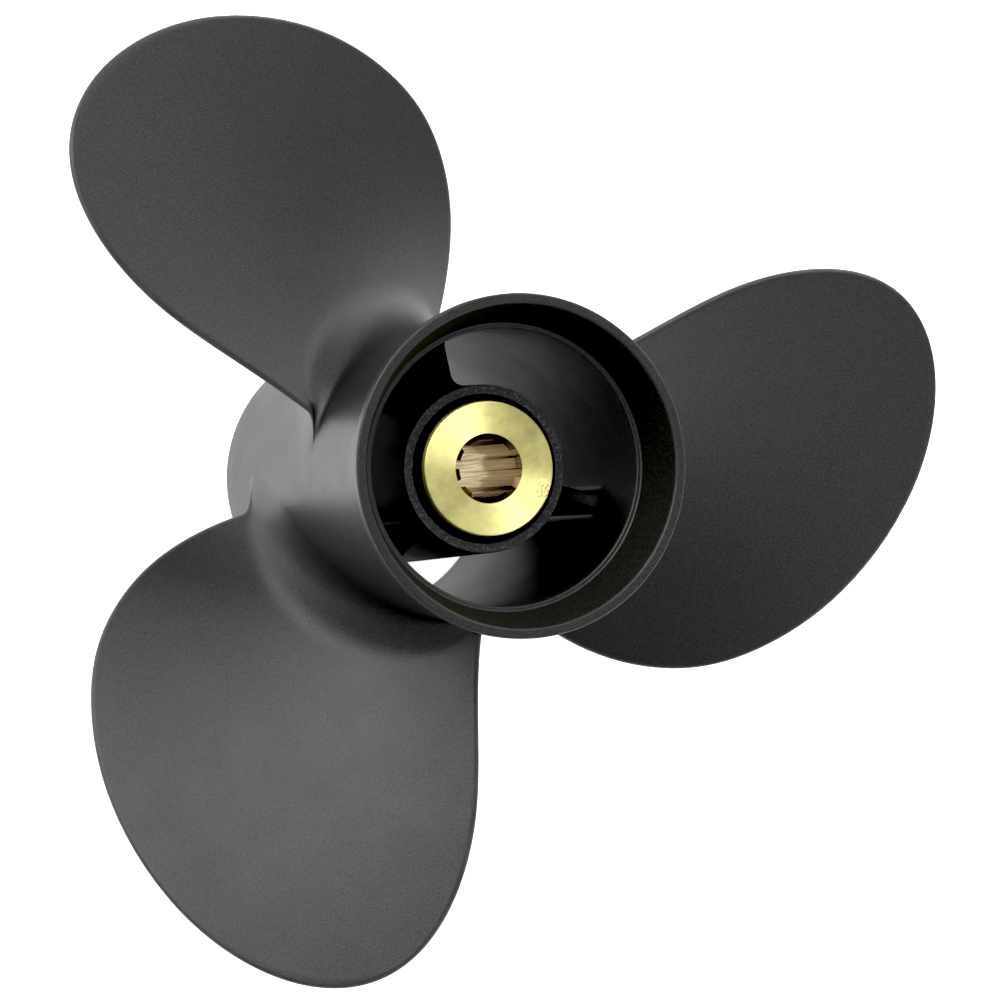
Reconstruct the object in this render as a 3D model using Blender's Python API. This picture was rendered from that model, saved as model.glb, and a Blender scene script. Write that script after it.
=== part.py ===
# Three-blade outboard propeller with the exhaust passage through its hub.
# The shaft axis is Z, pointing aft, and Z = 0 is the front rim of the barrel, so the part
# stands on that rim. Sizes below are in millimetres; meshes are written in metres.

import math

import bmesh
import bpy
from mathutils import Vector

MM = 0.001

# Overall form
TIP_RADIUS = 127.0
HUB_LENGTH = 132.0
BLADE_COUNT = 3
GAP = 0.3

# Barrel, the outer tube of the hub
BARREL_FRONT_RADIUS = 34.55
BARREL_REAR_RADIUS = 35.8
BARREL_FRONT_BORE = 32.5
BARREL_REAR_BORE = 32.25
BARREL_NOSE_LENGTH = 7.0
BARREL_NOSE_DROP = 0.3
FRONT_RECESS_RADIUS = 33.0
FRONT_RECESS_DEPTH = 2.0

# Diffuser ring, the flared rear end of the barrel
RING_START = 111.0
RING_LEDGE = 119.0
RING_LEDGE_RADIUS = 33.5
RING_LEDGE_CHAMFER = 0.3
RING_LIP_RADIUS = 39.75
RING_MOUTH_RADIUS = 37.4
RING_LIP_WIDTH = 2.6
RING_FLARE_BEND = 1.8

# Bush housing, the inner tube that the ribs carry
HOUSING_FRONT_RADIUS = 22.0
HOUSING_REAR_RADIUS = 19.75
HOUSING_BORE = 17.35
HOUSING_FRONT = 8.0
HOUSING_REAR = 103.3
HOUSING_CHAMFER = 0.6

# Rubber bush between the housing and the sleeve
BUSH_FRONT = 14.0
BUSH_REAR = 102.5

# Splined sleeve that slides on the propeller shaft
SLEEVE_RADIUS = 12.5
SLEEVE_COLLAR_RADIUS = 15.8
SLEEVE_FRONT = 10.0
SLEEVE_COLLAR_FRONT = 104.6
SLEEVE_REAR = 106.8
SLEEVE_CHAMFER = 0.4

# Spline in the sleeve's bore; each tooth narrows a little from its foot to its tip, and its
# ends slope down to the foot over the lead. Angles in degrees round the shaft
SPLINE_TEETH = 10
SPLINE_TIP_RADIUS = 6.9
SPLINE_FOOT_RADIUS = 8.2
SPLINE_FIRST_TOOTH = 11.5
SPLINE_TIP_HALF = 10.0
SPLINE_FOOT_HALF = 11.5
SPLINE_LEAD = 1.4

# Ribs between the barrel and the bush housing
RIB_THICKNESS = 4.0
RIB_FRONT = 12.0
RIB_REAR_INSIDE = 92.0
RIB_REAR_OUTSIDE = 94.5
RIB_TURN = -12.0
RIB_FLARE = 2.0
RIB_FLARE_OUT = 0.4
RIB_FLARE_UP = 0.3

# Blades
FIRST_BLADE_ANGLE = 28.4
BLADE_STATION = 57.2
PITCH = 229.0
PITCH_GROWTH = 34.0
PITCH_STATION = 0.7
RAKE = 0.12
RAKE_START = 36.0
ROOT_RADIUS = 34.0
ROOT_THICKNESS = 9.0
TIP_THICKNESS = 3.4
EDGE_THICKNESS = 1.8
FACE_SHARE = 0.4
THINNING_POWER = 6
FILLET_RADIUS = 14.0
FILLET_POWER = 0.5

# Each edge runs out into the barrel too: height above the barrel where this starts, length along
# the barrel, and swing in degrees from the blade's own helix towards the front
LEADING_RUN = (6.0, 9.0, -8.0)
TRAILING_RUN = (4.4, 6.8, 67.0)
RUN_POWER = 3
SWING_POWER = 6

# Blade outline seen along the shaft: control points (across, out) of one B-spline from the
# leading edge inside the barrel, round the tip, to the trailing edge inside the barrel
OUTLINE = [
    (19.0, 19.0),
    (38.5, 38.0),
    (49.0, 66.0),
    (41.5, 90.5),
    (25.0, 111.0),
    (-3.5, 126.0),
    (-35.5, 125.5),
    (-55.5, 106.0),
    (-50.0, 66.0),
    (-28.3, 38.5),
    (-20.9, 19.2),
]
LEADING_SHOULDER = 0.47
TRAILING_SHOULDER = 0.72

# Facets
ROUND_STEPS = 48
FLARE_STEPS = 6
SMALL_STEPS = 40
CHORD_STEPS = 18
SEAT_STEPS = 8
SPAN_STATIONS = [0.0, 0.01, 0.028, 0.05, 0.085, 0.13, 0.2, 0.3, 0.42, 0.55, 0.68, 0.8, 0.9, 0.96, 1.0]
EDGE_SEARCH_STEPS = 40
SHARP_ANGLE = 30.0

# Finishes: linear colour, roughness and metalness
BLACK_PAINT = ((0.035, 0.035, 0.037), 0.45, 0.0)
THIN_PAINT = ((0.12, 0.12, 0.12), 0.6, 0.4)
BLACK_RUBBER = ((0.012, 0.012, 0.012), 0.8, 0.0)
TURNED_BRASS = ((0.76, 0.62, 0.28), 0.3, 1.0)


# Materials and mesh helpers

def make_material(name, finish):
    colour, roughness, metallic = finish
    material = bpy.data.materials.new(name)
    material.use_nodes = True
    shader = material.node_tree.nodes["Principled BSDF"]
    shader.inputs["Base Color"].default_value = (*colour, 1.0)
    shader.inputs["Roughness"].default_value = roughness
    shader.inputs["Metallic"].default_value = metallic
    material.diffuse_color = (*colour, 1.0)
    return material


def make_object(name, bm, material):
    bmesh.ops.recalc_face_normals(bm, faces=bm.faces)
    mesh = bpy.data.meshes.new(name)
    bm.to_mesh(mesh)
    bm.free()
    mesh.materials.append(material)
    mesh.shade_smooth()
    mesh.set_sharp_from_angle(angle=math.radians(SHARP_ANGLE))
    piece = bpy.data.objects.new(name, mesh)
    bpy.context.collection.objects.link(piece)
    return piece


def turn_profile(profile, steps):
    """Closed ring turned from a closed loop of (radius, z) points."""
    bm = bmesh.new()
    rings = []
    for step in range(steps):
        angle = 2.0 * math.pi * step / steps
        ring = []
        for radius, z in profile:
            point = Vector((radius * math.cos(angle), radius * math.sin(angle), z))
            ring.append(bm.verts.new(point * MM))
        rings.append(ring)
    join_loops(bm, rings, len(profile))
    return bm


def join_loops(bm, rings, count):
    """Quads between each ring and the next, both round the rings and from last to first."""
    for step, ring in enumerate(rings):
        following = rings[(step + 1) % len(rings)]
        for index in range(count):
            after = (index + 1) % count
            bm.faces.new((ring[index], ring[after], following[after], following[index]))


def flare(start, end, steps, bend):
    """Points on a concave sweep between two (radius, z) points."""
    points = []
    for step in range(steps + 1):
        share = step / steps
        radius = start[0] + (end[0] - start[0]) * share ** bend
        points.append((radius, start[1] + (end[1] - start[1]) * share))
    return points


# Barrel and diffuser ring

def barrel_radius(z):
    """Outer radius of the barrel's straight taper."""
    share = min(max(z / RING_START, 0.0), 1.0)
    return BARREL_FRONT_RADIUS + (BARREL_REAR_RADIUS - BARREL_FRONT_RADIUS) * share


def bore_radius(z):
    """Inner radius of the barrel's straight taper."""
    share = min(max(z / RING_START, 0.0), 1.0)
    return BARREL_FRONT_BORE + (BARREL_REAR_BORE - BARREL_FRONT_BORE) * share


def make_barrel(material):
    end = RING_START - GAP
    profile = [
        (FRONT_RECESS_RADIUS, 0.0),
        (BARREL_FRONT_RADIUS - BARREL_NOSE_DROP, 0.0),
        (barrel_radius(BARREL_NOSE_LENGTH), BARREL_NOSE_LENGTH),
        (barrel_radius(end), end),
        (bore_radius(end), end),
        (bore_radius(FRONT_RECESS_DEPTH), FRONT_RECESS_DEPTH),
    ]
    return make_object("barrel", turn_profile(profile, ROUND_STEPS), material)


def make_diffuser_ring(material):
    lip_start = HUB_LENGTH - RING_LIP_WIDTH
    start = (BARREL_REAR_RADIUS, RING_START)
    outside = flare(start, (RING_LIP_RADIUS, lip_start), FLARE_STEPS, RING_FLARE_BEND)
    profile = outside + [
        (RING_LIP_RADIUS, HUB_LENGTH),
        (RING_MOUTH_RADIUS, HUB_LENGTH),
        (RING_LEDGE_RADIUS, RING_LEDGE),
        (BARREL_REAR_BORE + RING_LEDGE_CHAMFER, RING_LEDGE),
        (BARREL_REAR_BORE, RING_LEDGE - RING_LEDGE_CHAMFER),
        (BARREL_REAR_BORE, RING_START),
    ]
    return make_object("diffuser_ring", turn_profile(profile, ROUND_STEPS), material)


# Bush housing, rubber bush and splined sleeve

def housing_radius(z):
    """Outer radius of the bush housing's straight taper."""
    share = (z - HOUSING_FRONT) / (HOUSING_REAR - HOUSING_FRONT)
    return HOUSING_FRONT_RADIUS + (HOUSING_REAR_RADIUS - HOUSING_FRONT_RADIUS) * share


def make_bush_housing(material):
    shoulder = HOUSING_REAR - HOUSING_CHAMFER
    profile = [
        (HOUSING_BORE, HOUSING_FRONT),
        (HOUSING_FRONT_RADIUS, HOUSING_FRONT),
        (housing_radius(shoulder), shoulder),
        (HOUSING_REAR_RADIUS - HOUSING_CHAMFER, HOUSING_REAR),
        (HOUSING_BORE, HOUSING_REAR),
    ]
    return make_object("bush_housing", turn_profile(profile, SMALL_STEPS), material)


def make_rubber_bush(material):
    profile = [
        (SLEEVE_RADIUS + GAP, BUSH_FRONT),
        (HOUSING_BORE - GAP, BUSH_FRONT),
        (HOUSING_BORE - GAP, BUSH_REAR),
        (SLEEVE_RADIUS + GAP, BUSH_REAR),
    ]
    return make_object("rubber_bush", turn_profile(profile, SMALL_STEPS), material)


def spline_columns():
    """Angle in degrees and bore radius of each step round the splined hole."""
    half_space = 180.0 / SPLINE_TEETH
    tooth = [
        (-SPLINE_FOOT_HALF, SPLINE_FOOT_RADIUS),
        (-SPLINE_TIP_HALF, SPLINE_TIP_RADIUS),
        (0.0, SPLINE_TIP_RADIUS),
        (SPLINE_TIP_HALF, SPLINE_TIP_RADIUS),
        (SPLINE_FOOT_HALF, SPLINE_FOOT_RADIUS),
        (half_space, SPLINE_FOOT_RADIUS),
    ]
    columns = []
    for index in range(SPLINE_TEETH):
        centre = SPLINE_FIRST_TOOTH + 2.0 * half_space * index
        columns += [(centre + angle, radius) for angle, radius in tooth]
    return columns


def make_splined_sleeve(material):
    bm = bmesh.new()
    rings = []
    for angle, bore in spline_columns():
        profile = [
            (bore, SLEEVE_FRONT + SPLINE_LEAD),
            (SPLINE_FOOT_RADIUS, SLEEVE_FRONT),
            (SLEEVE_RADIUS, SLEEVE_FRONT),
            (SLEEVE_RADIUS, SLEEVE_COLLAR_FRONT),
            (SLEEVE_COLLAR_RADIUS, SLEEVE_COLLAR_FRONT),
            (SLEEVE_COLLAR_RADIUS, SLEEVE_REAR - SLEEVE_CHAMFER),
            (SLEEVE_COLLAR_RADIUS - SLEEVE_CHAMFER, SLEEVE_REAR),
            (SPLINE_FOOT_RADIUS, SLEEVE_REAR),
            (bore, SLEEVE_REAR - SPLINE_LEAD),
        ]
        ring = []
        for radius, z in profile:
            turn = math.radians(angle)
            point = Vector((radius * math.cos(turn), radius * math.sin(turn), z))
            ring.append(bm.verts.new(point * MM))
        rings.append(ring)
    join_loops(bm, rings, len(profile))
    return make_object("splined_sleeve", bm, material)


# Ribs

def rib_section(inner, outer):
    """Loop of (across, along) points from the bush housing to the barrel's bore."""
    half = RIB_THICKNESS * 0.5
    foot = half + RIB_FLARE
    ankle = half + RIB_FLARE * RIB_FLARE_UP
    side = [
        (math.sqrt(inner ** 2 - foot ** 2), foot),
        (inner + RIB_FLARE * RIB_FLARE_OUT, ankle),
        (inner + RIB_FLARE, half),
        (outer - RIB_FLARE, half),
        (outer - RIB_FLARE * RIB_FLARE_OUT, ankle),
        (math.sqrt(outer ** 2 - foot ** 2), foot),
    ]
    mirrored = [(x, -y) for x, y in reversed(side)]
    return side + [(outer, 0.0)] + mirrored + [(inner, 0.0)]


def rib_rear(x):
    """Height of the sloping rear edge at a distance from the shaft axis."""
    share = (x - HOUSING_REAR_RADIUS) / (BARREL_REAR_BORE - HOUSING_REAR_RADIUS)
    return RIB_REAR_INSIDE + (RIB_REAR_OUTSIDE - RIB_REAR_INSIDE) * share


def make_rib(name, angle, material):
    """Wall from the bush housing to the barrel, with a foot along each of them."""
    front = rib_section(housing_radius(RIB_FRONT) + GAP, bore_radius(RIB_FRONT) - GAP)
    rear = rib_section(housing_radius(RIB_REAR_INSIDE) + GAP, bore_radius(RIB_REAR_OUTSIDE) - GAP)
    bm = bmesh.new()
    front_loop = [bm.verts.new(Vector((x, y, RIB_FRONT)) * MM) for x, y in front]
    rear_loop = [bm.verts.new(Vector((x, y, rib_rear(x))) * MM) for x, y in rear]
    bm.faces.new(front_loop)
    bm.faces.new(rear_loop)
    for index in range(len(front_loop)):
        after = (index + 1) % len(front_loop)
        corners = (front_loop[index], front_loop[after], rear_loop[after], rear_loop[index])
        bm.faces.new(corners)
    rib = make_object(name, bm, material)
    rib.rotation_euler.z = angle
    return rib


# Blades

def outline_point(share):
    """Point (across, out) on the blade outline, a clamped cubic B-spline."""
    degree = 3
    spans = len(OUTLINE) - degree
    knots = [0.0] * degree + [step / spans for step in range(spans + 1)] + [1.0] * degree
    share = min(max(share, 0.0), 1.0 - 1e-9)
    span = degree + int(share * spans)
    points = [Vector(OUTLINE[span - degree + index]) for index in range(degree + 1)]
    for level in range(1, degree + 1):
        for index in range(degree, level - 1, -1):
            low = knots[span - degree + index]
            high = knots[span + 1 + index - level]
            blend = (share - low) / (high - low)
            points[index] = points[index - 1] * (1.0 - blend) + points[index] * blend
    return points[degree]


def polar(point):
    """Radius and turn from the blade's own direction of an outline point."""
    return Vector((point.length, math.atan2(point.y, point.x) - math.pi * 0.5))


def edge_at_radius(radius, root, shoulder):
    """Radius and turn where one edge of the outline, from root to shoulder, has a radius."""
    inside = root
    outside = shoulder
    for _ in range(EDGE_SEARCH_STEPS):
        middle = (inside + outside) * 0.5
        if outline_point(middle).length < radius:
            inside = middle
        else:
            outside = middle
    return polar(outline_point(outside))


def edge(share, root, shoulder, height, length, swing):
    """Point on one edge at a share of the way out from the barrel to its shoulder, as radius,
    turn and offset from the middle surface."""
    reach = outline_point(shoulder).length
    start = barrel_radius(blade_height(*edge_at_radius(BARREL_REAR_RADIUS, root, shoulder)))
    radius = start + GAP + (reach - start - GAP) * share
    place = edge_at_radius(radius, root, shoulder)
    run_out = length * max(1.0 - (radius - start) / height, 0.0) ** RUN_POWER
    swing = math.radians(swing)
    along = run_out * math.cos(swing) * math.cos(pitch_slope(radius))
    turn = place.y + math.copysign(along / radius, place.y)
    return Vector((radius, turn, -run_out * math.sin(swing)))


def blade_position(chord, span):
    """Radius, turn and offset at a share of the chord and of the span, a four-sided patch."""
    leading = edge(span, 0.0, LEADING_SHOULDER, *LEADING_RUN)
    trailing = edge(span, 1.0, TRAILING_SHOULDER, *TRAILING_RUN)
    leading_end = polar(outline_point(LEADING_SHOULDER))
    trailing_end = polar(outline_point(TRAILING_SHOULDER))
    tip_share = LEADING_SHOULDER + (TRAILING_SHOULDER - LEADING_SHOULDER) * chord
    bulge = polar(outline_point(tip_share)) - leading_end.lerp(trailing_end, chord)
    radius, turn = leading.xy.lerp(trailing.xy, chord) + bulge * span
    shift = leading.z * (1.0 - chord) ** SWING_POWER + trailing.z * chord ** SWING_POWER
    if span == 0.0:
        radius = barrel_radius(blade_height(radius, turn)) + GAP
    return radius, turn, shift


def pitch_at(radius):
    return PITCH + PITCH_GROWTH * (radius / TIP_RADIUS - PITCH_STATION)


def blade_height(radius, turn):
    """Height of the blade's middle surface."""
    advance = pitch_at(radius) / (2.0 * math.pi)
    return BLADE_STATION + advance * turn + RAKE * (radius - RAKE_START)


def pitch_slope(radius):
    return math.atan2(pitch_at(radius), 2.0 * math.pi * radius)


def fillet_reach(rise, size):
    """How far a fillet of this radius stands out at a height above the barrel."""
    if rise >= size:
        return 0.0
    share = 1.0 - max(rise, 0.0) / size
    return size * (1.0 - math.sqrt(1.0 - share ** 2))


def half_thickness(radius, z, fullness, side):
    """Distance from the middle surface to the front (side -1) or aft (side +1) surface."""
    share = min(max((radius - ROOT_RADIUS) / (TIP_RADIUS - ROOT_RADIUS), 0.0), 1.0)
    greatest = ROOT_THICKNESS + (TIP_THICKNESS - ROOT_THICKNESS) * share
    thickness = EDGE_THICKNESS + (greatest - EDGE_THICKNESS) * fullness
    part = FACE_SHARE if side > 0 else 1.0 - FACE_SHARE
    fillet = fillet_reach(radius - barrel_radius(z), FILLET_RADIUS * fullness ** FILLET_POWER)
    return thickness * part + fillet


def blade_vertex(radius, turn, offset, direction, seated):
    """Point off the middle surface, moved along the cylinder so that it keeps its radius."""
    slope = pitch_slope(radius)
    angle = direction + turn - offset * math.sin(slope) / radius
    height = blade_height(radius, turn) + offset * math.cos(slope)
    if seated:
        radius = barrel_radius(height) + GAP
    return Vector((radius * math.cos(angle), radius * math.sin(angle), height)) * MM


def blade_grids(bm, direction):
    """Rows of front, aft and, along the barrel, seat points."""
    front = []
    aft = []
    seat = []
    for span in SPAN_STATIONS:
        front_row = []
        aft_row = []
        for column in range(CHORD_STEPS + 1):
            chord = 0.5 - 0.5 * math.cos(math.pi * column / CHORD_STEPS)
            radius, turn, shift = blade_position(chord, span)
            z = blade_height(radius, turn)
            fullness = (1.0 - (2.0 * chord - 1.0) ** 2) * (1.0 - span ** THINNING_POWER)
            low = shift - half_thickness(radius, z, fullness, -1.0)
            high = shift + half_thickness(radius, z, fullness, 1.0)
            seated = span == 0.0
            steps = SEAT_STEPS if seated else 1
            across = []
            for step in range(steps + 1):
                offset = low + (high - low) * step / steps
                point = blade_vertex(radius, turn, offset, direction, seated)
                across.append(bm.verts.new(point))
            front_row.append(across[0])
            aft_row.append(across[-1])
            if seated:
                seat.append(across)
        front.append(front_row)
        aft.append(aft_row)
    return front, aft, seat


def fill_grid(bm, rows):
    for row, following in zip(rows, rows[1:]):
        for column in range(len(row) - 1):
            corners = (row[column], row[column + 1], following[column + 1], following[column])
            bm.faces.new(corners)


def make_blade(name, direction, material):
    bm = bmesh.new()
    front, aft, seat = blade_grids(bm, direction)
    fill_grid(bm, front)
    fill_grid(bm, aft)
    fill_grid(bm, seat)
    rim = [(row, 0) for row in range(1, len(front))]
    rim += [(len(front) - 1, column) for column in range(1, len(front[0]))]
    rim += [(row, len(front[0]) - 1) for row in range(len(front) - 2, 0, -1)]
    rim_front = [front[row][column] for row, column in rim]
    rim_aft = [aft[row][column] for row, column in rim]
    fill_grid(bm, [rim_front, rim_aft])
    bm.faces.new(seat[0] + [rim_aft[0], rim_front[0]])
    bm.faces.new(seat[-1] + [rim_aft[-1], rim_front[-1]])
    return make_object(name, bm, material)


# Assembly

def main():
    for old in list(bpy.data.objects):
        bpy.data.objects.remove(old, do_unlink=True)

    paint = make_material("black paint", BLACK_PAINT)
    make_barrel(paint)
    make_diffuser_ring(paint)
    make_bush_housing(make_material("thin paint", THIN_PAINT))
    make_rubber_bush(make_material("rubber", BLACK_RUBBER))
    make_splined_sleeve(make_material("brass", TURNED_BRASS))
    for index in range(BLADE_COUNT):
        turn = math.radians(FIRST_BLADE_ANGLE + 90.0) + 2.0 * math.pi * index / BLADE_COUNT
        make_blade(f"blade_{index + 1}", turn, paint)
        make_rib(f"rib_{index + 1}", turn + math.radians(RIB_TURN), paint)


main()
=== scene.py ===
# Three-blade outboard propeller on a pale floor, seen from aft.
# The shaft axis is Z and points aft; sizes in the dictionaries are millimetres and degrees.

import math

import bmesh
import bpy
from mathutils import Matrix, Vector
from mathutils.geometry import delaunay_2d_cdt
from mathutils.kdtree import KDTree


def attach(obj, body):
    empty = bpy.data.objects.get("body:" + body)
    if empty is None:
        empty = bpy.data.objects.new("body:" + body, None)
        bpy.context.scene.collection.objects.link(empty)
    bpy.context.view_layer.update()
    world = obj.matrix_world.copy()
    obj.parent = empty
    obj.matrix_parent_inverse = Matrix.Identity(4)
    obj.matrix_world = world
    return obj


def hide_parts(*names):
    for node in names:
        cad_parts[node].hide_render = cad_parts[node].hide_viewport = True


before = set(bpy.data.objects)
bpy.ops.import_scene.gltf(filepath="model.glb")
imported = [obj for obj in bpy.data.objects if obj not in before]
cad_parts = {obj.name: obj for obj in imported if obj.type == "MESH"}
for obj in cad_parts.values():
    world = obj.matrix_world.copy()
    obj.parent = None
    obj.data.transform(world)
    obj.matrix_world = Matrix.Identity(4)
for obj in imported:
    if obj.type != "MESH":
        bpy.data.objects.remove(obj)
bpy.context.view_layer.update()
print("frame loaded,", len(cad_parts), "CAD nodes")

mm = 0.001


def linearColour(text):
    parts = [int(text[i:i + 2], 16) / 255.0 for i in (1, 3, 5)]
    return [*(c / 12.92 if c <= 0.04045 else ((c + 0.055) / 1.055) ** 2.4 for c in parts), 1.0]


def addNode(tree, kind, inputs=None, **settings):
    node = tree.nodes.new(kind)
    for name, value in settings.items():
        setattr(node, name, value)
    for name, value in (inputs or {}).items():
        if isinstance(value, bpy.types.NodeSocket):
            tree.links.new(value, node.inputs[name])
        else:
            node.inputs[name].default_value = value
    return node


def smoothStep(value):
    value = min(max(value, 0.0), 1.0)
    return value * value * (3.0 - 2.0 * value)


def mixed(a, b, share):
    return a + (b - a) * share


def meshFrom(bm, name):
    mesh = bpy.data.meshes.new(name)
    bm.to_mesh(mesh)
    bm.free()
    return mesh


def putInScene(name, data):
    thing = bpy.data.objects.new(name, data)
    bpy.context.collection.objects.link(thing)
    return thing


def joinRows(bm, rows, closed=False):
    # faces between neighbouring rows of vertices
    for one, two in zip(rows, rows[1:]):
        for i in range(len(one) if closed else len(one) - 1):
            after = (i + 1) % len(one)
            bm.faces.new((one[i], one[after], two[after], two[i]))


def roundShaft(radius, angle, z):
    return Vector((radius * math.cos(angle), radius * math.sin(angle), z)) * mm


def newMaterial(name):
    # a material, its empty node tree, and the place of a point on the piece
    material = bpy.data.materials.new(name)
    material.use_nodes = True
    tree = material.node_tree
    tree.nodes.clear()
    return material, tree, addNode(tree, "ShaderNodeTexCoord").outputs["Object"]


paintLook = {
    "colour": "#030304",
    "paleColour": "#232325",
    # paler colour along the blade rims: partly a thin coat, partly a painted highlight
    "wornAndHighlightColour": "#505052",
    "roughness": 0.42,
    "specular": 0.5,
    "grainSize": 0.42,       # sprayed grain, drawn coarser than the real 0.2 mm so that it shows
    "grainHeight": 0.05,
    "waveSize": 11.0,        # slow waves left by the die
    "waveHeight": 0.02,
}

# the enamel drawn rougher and coarser for the ribs and the cone of the mouth; its darker colours and
# weaker sheen are painted shade for these recesses
shadedRecessLook = {
    **paintLook,
    "colour": "#020202",
    "paleColour": "#1D1D1D",
    "roughness": 0.64,
    "specular": 0.25,
    "grainHeight": 0.09,
}


def makePaint(name, look):
    # satin black enamel sprayed on a die casting: near black, with a broad soft sheen, a fine
    # grain and a slightly paler line along the crest of the blade rims, partly a thin coat and
    # partly a painted highlight; on the ribs and in the cone of the mouth the skin is rougher and
    # coarser, and darker with a weaker sheen, which is painted shade for these recesses
    material, tree, place = newMaterial(name)
    grain = addNode(tree, "ShaderNodeTexNoise", {
        "Vector": place, "Scale": 1.0 / (look["grainSize"] * mm), "Detail": 2.0, "Roughness": 0.6})
    waves = addNode(tree, "ShaderNodeTexNoise", {
        "Vector": place, "Scale": 1.0 / (look["waveSize"] * mm), "Detail": 2.0, "Roughness": 0.5})
    specks = addNode(tree, "ShaderNodeMapRange", {
        "Value": grain.outputs["Fac"], "From Min": 0.35, "From Max": 0.65})
    tint = addNode(tree, "ShaderNodeMix", {
        "Factor": specks.outputs["Result"], "A": linearColour(look["colour"]),
        "B": linearColour(look["paleColour"])}, data_type="RGBA")
    # the rims turn paler where this attribute is high: partly a thin coat, partly a painted highlight
    wearAndHighlight = addNode(tree, "ShaderNodeAttribute", attribute_name="rimWearAndHighlight")
    paleRimShare = addNode(tree, "ShaderNodeMath", {
        0: wearAndHighlight.outputs["Fac"], 1: waves.outputs["Fac"]}, operation="MULTIPLY")
    wornAndHighlighted = addNode(tree, "ShaderNodeMix", {
        "Factor": paleRimShare.outputs[0], "A": tint.outputs["Result"],
        "B": linearColour(look["wornAndHighlightColour"])}, data_type="RGBA")
    sheen = addNode(tree, "ShaderNodeMapRange", {
        "Value": waves.outputs["Fac"], "From Min": 0.3, "From Max": 0.7,
        "To Min": look["roughness"] - 0.02, "To Max": look["roughness"] + 0.02})
    wavy = addNode(tree, "ShaderNodeBump", {
        "Height": waves.outputs["Fac"], "Distance": look["waveHeight"] * mm})
    rough = addNode(tree, "ShaderNodeBump", {
        "Height": grain.outputs["Fac"], "Distance": look["grainHeight"] * mm,
        "Normal": wavy.outputs["Normal"]})
    shader = addNode(tree, "ShaderNodeBsdfPrincipled", {
        "Base Color": wornAndHighlighted.outputs["Result"], "Roughness": sheen.outputs["Result"],
        "Specular IOR Level": look["specular"], "Normal": rough.outputs["Normal"], "IOR": 1.5})
    addNode(tree, "ShaderNodeOutputMaterial", {"Surface": shader.outputs[0]})
    return material


castEndLook = {
    "colour": "#1E1E1F",
    "paleColour": "#6A6A6B",
    "pitSize": 0.6,
    "pitHeight": 0.1,
    "roughness": 0.7,
}


def makeCastEnd(look):
    # sawn end of the bush housing under a thin coat: dull and pitted, with bare metal specks
    material, tree, place = newMaterial("thinCoatOnCastEnd")
    pits = addNode(tree, "ShaderNodeTexNoise", {
        "Vector": place, "Scale": 1.0 / (look["pitSize"] * mm), "Detail": 4.0, "Roughness": 0.7})
    specks = addNode(tree, "ShaderNodeMapRange", {
        "Value": pits.outputs["Fac"], "From Min": 0.5, "From Max": 0.78})
    tint = addNode(tree, "ShaderNodeMix", {
        "Factor": specks.outputs["Result"], "A": linearColour(look["colour"]),
        "B": linearColour(look["paleColour"])}, data_type="RGBA")
    rough = addNode(tree, "ShaderNodeBump", {
        "Height": pits.outputs["Fac"], "Distance": look["pitHeight"] * mm})
    shader = addNode(tree, "ShaderNodeBsdfPrincipled", {
        "Base Color": tint.outputs["Result"], "Roughness": look["roughness"],
        "Normal": rough.outputs["Normal"], "IOR": 1.5})
    addNode(tree, "ShaderNodeOutputMaterial", {"Surface": shader.outputs[0]})
    return material


turnedLook = {
    "colour": "#F6ED9C",
    "dullColour": "#D8D18E",
    "roughness": 0.33,
    "anisotropy": 0.95,
    "ringPitch": 0.5,        # tool marks, drawn coarser than the real 0.1 mm so that they show
    "ringHeight": 0.004,
    "tarnishSize": 3.5,
    "dentPlace": (13.4, -5.0, 106.8),
    "dentReach": 3.0,
    "dentSize": 0.6,
    "dentDepth": 0.25,
}


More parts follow.
